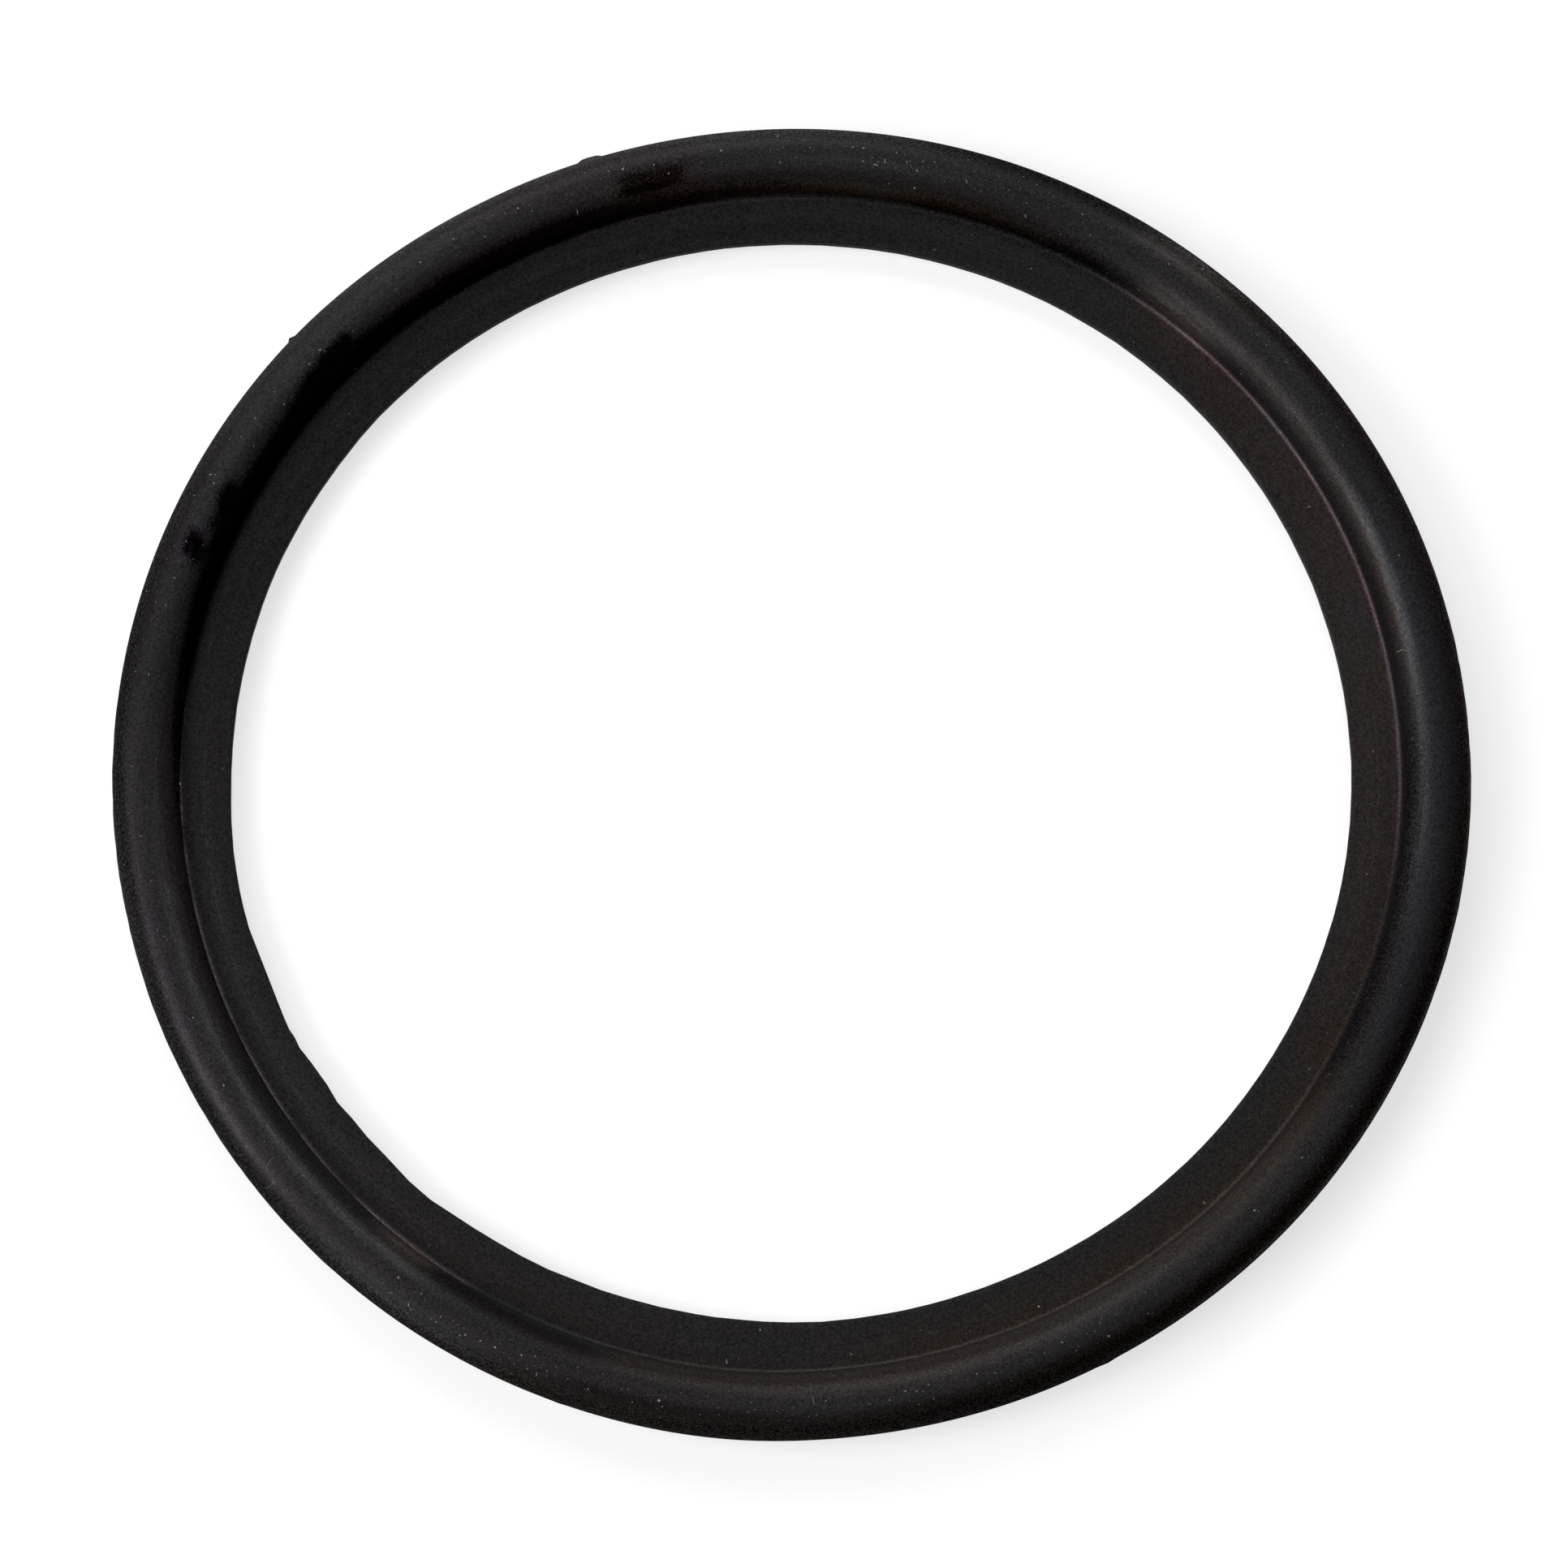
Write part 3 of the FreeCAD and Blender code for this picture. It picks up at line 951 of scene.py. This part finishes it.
# Sheen: a thin coat with painted highlights, broken by the mould's streaks where it is strong,
# and by the grain, and taken away under painted shade and dark blots.
short_streak_share = 0.7
line_sheen = 0.45
sheen_and_highlight_value = skin_value(skin, "sheen_and_painted_highlights")
streaks = calculate(skin, "ADD", long_streaks.outputs["Streaks"], fine_streaks.outputs["Streaks"])
short_offset = calculate(skin, "SUBTRACT", short_streaks.outputs["Streaks"], 0.5)
streaks = calculate(skin, "MULTIPLY_ADD", short_offset, short_streak_share, streaks)
streak_offset = calculate(skin, "SUBTRACT", streaks, 1.0)
streak_depth = rescale(skin, sheen_and_highlight_value, from_low=0.30, from_high=0.80, to_low=0.08, to_high=0.58)
streak_gain = calculate(skin, "MULTIPLY_ADD", streak_offset, streak_depth, 1.0)
grain_gain = rescale(skin, grain_tone, from_low=0.0, from_high=1.0, to_low=0.6, to_high=1.4)
line_gain = calculate(skin, "MULTIPLY_ADD", inner_line.outputs["Mask"], line_sheen, 1.0)
coat = calculate(skin, "MULTIPLY", calculate(skin, "MULTIPLY", sheen_and_highlight_value, streak_gain),
                 calculate(skin, "MULTIPLY", grain_gain, undarkened_share))
coat = calculate(skin, "MULTIPLY", coat, line_gain)
skin.links.new(coat, rubber_shader.inputs["Coat Weight"])
rubber_shader.inputs["Coat Roughness"].default_value = 0.45
rubber_shader.inputs["Specular IOR Level"].default_value = 0.0
rubber_shader.inputs["Roughness"].default_value = 0.5

# Relief: the grain's pits, and the two lines that the mould's turned face left on the flange.
outer_line_share = 0.6
faint_line = calculate(skin, "MULTIPLY", outer_line.outputs["Mask"], outer_line_share)
line_height = calculate(skin, "ADD", inner_line.outputs["Mask"], faint_line)
pits = raise_skin(skin, grain.outputs["Height"], strength=0.25, distance=0.00002)
marks = raise_skin(skin, line_height, strength=0.3, distance=0.00001)
skin.links.new(pits.outputs["Normal"], marks.inputs["Normal"])
skin.links.new(marks.outputs["Normal"], rubber_shader.inputs["Normal"])
seal_mesh.materials.append(rubber)

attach(seal, "root")
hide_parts("seal_ring")

# The floor
# A wide matt white sheet, which the ring lies on. The camera, and what the rubber mirrors, see it
# a little brighter than its paint, as a white sheet under a photographer's lamps looks.

floor_reach = 2.0
floor_glow = 0.65
floor_mesh = bpy.data.meshes.new("floor")
floor_mesh.from_pydata(
    [(-floor_reach, -floor_reach, 0), (floor_reach, -floor_reach, 0),
     (floor_reach, floor_reach, 0), (-floor_reach, floor_reach, 0)],
    [], [(0, 1, 2, 3)])
floor = bpy.data.objects.new("floor", floor_mesh)
bpy.context.scene.collection.objects.link(floor)
floor_paint = bpy.data.materials.new("white_sheet")
floor_paint.use_nodes = True
sheet = floor_paint.node_tree
floor_shader = sheet.nodes["Principled BSDF"]
floor_shader.inputs["Base Color"].default_value = (0.4, 0.4, 0.4, 1)
floor_shader.inputs["Roughness"].default_value = 0.9
floor_shader.inputs["Specular IOR Level"].default_value = 0.0
seen_by = sheet.nodes.new("ShaderNodeLightPath")
mirrored = calculate(sheet, "MAXIMUM", seen_by.outputs["Is Glossy Ray"],
                     seen_by.outputs["Is Transmission Ray"])
seen_directly = calculate(sheet, "MAXIMUM", seen_by.outputs["Is Camera Ray"], mirrored)
glow_seen = calculate(sheet, "MULTIPLY", seen_directly, floor_glow)
sheet_glow = sheet.nodes.new("ShaderNodeEmission")
sheet_glow.inputs["Color"].default_value = (1, 1, 1, 1)
sheet.links.new(glow_seen, sheet_glow.inputs["Strength"])
sheet_sum = sheet.nodes.new("ShaderNodeAddShader")
sheet.links.new(floor_shader.outputs[0], sheet_sum.inputs[0])
sheet.links.new(sheet_glow.outputs[0], sheet_sum.inputs[1])
sheet.links.new(sheet_sum.outputs[0], sheet.nodes["Material Output"].inputs["Surface"])
floor_mesh.materials.append(floor_paint)

# The light
# Soft boxes round a small table: the brightest at the left, others behind, and weak fill from the
# front.

world = bpy.data.worlds.new("studio")
world.use_nodes = True
background = world.node_tree.nodes["Background"]
background.inputs["Color"].default_value = (1, 1, 1, 1)
background.inputs["Strength"].default_value = 0.02
bpy.context.scene.world = world
light_distance = 1.2
box_width = 0.6


def soft_box(name, azimuth, elevation, radiance):
    """A round lamp of a set radiance, facing the ring from an azimuth and elevation in degrees.

    A lamp of power P and area A has a radiance of P / (pi A), so its power is pi A times that.
    """
    turn = math.radians(azimuth)
    rise = math.radians(elevation)
    level = math.cos(rise)
    towards = Vector((math.cos(turn) * level, math.sin(turn) * level, math.sin(rise)))
    lamp = bpy.data.lights.new(name, "AREA")
    lamp.shape = "DISK"
    lamp.size = box_width
    lamp.energy = math.pi * math.pi * box_width**2 / 4 * radiance
    box = bpy.data.objects.new(name, lamp)
    box.location = towards * light_distance
    box.rotation_euler = towards.to_track_quat("Z", "Y").to_euler()
    bpy.context.scene.collection.objects.link(box)


soft_box("key_left", azimuth=180, elevation=36, radiance=8.2)
soft_box("key_left_front", azimuth=210, elevation=36, radiance=4.3)
soft_box("key_left_high", azimuth=180, elevation=62, radiance=1.9)
soft_box("back_box", azimuth=90, elevation=36, radiance=4.8)
soft_box("back_left_box", azimuth=120, elevation=36, radiance=3.6)
soft_box("back_right_box", azimuth=50, elevation=50, radiance=1.6)
soft_box("front_fill", azimuth=275, elevation=62, radiance=2.4)

# The camera
# It looks down on the ring from the front, steeply and turned a little, as the photograph does.

photo_pixels = 1932
ring_centre_pixel = (973.4, 947.4)
pixels_per_metre = 22333
view_distance = 0.4
view_elevation = math.radians(74.6)
view_roll = math.radians(-4.0)

camera_data = bpy.data.cameras.new("camera")
camera_data.lens = camera_data.sensor_width * pixels_per_metre * view_distance / photo_pixels
camera = bpy.data.objects.new("camera", camera_data)
bpy.context.scene.collection.objects.link(camera)
bpy.context.scene.camera = camera


def turn_facing(backwards):
    """The camera's turn when its back is towards a direction, rolled about it."""
    return backwards.to_track_quat("Z", "Y").to_matrix() @ Matrix.Rotation(view_roll, 3, "Z")


bead_middle = Vector((0, 0, bead_radius))
away_from_ring = Vector((0, -math.cos(view_elevation), math.sin(view_elevation)))
picture_middle = photo_pixels / 2
aim_right = (picture_middle - ring_centre_pixel[0]) / pixels_per_metre
aim_up = (ring_centre_pixel[1] - picture_middle) / pixels_per_metre
aim_point = bead_middle + turn_facing(away_from_ring) @ Vector((aim_right, aim_up, 0))
camera_place = bead_middle + away_from_ring * view_distance
camera_turn = turn_facing((camera_place - aim_point).normalized())
camera.matrix_world = Matrix.Translation(camera_place) @ camera_turn.to_4x4()

bpy.context.scene.view_settings.view_transform = "Standard"
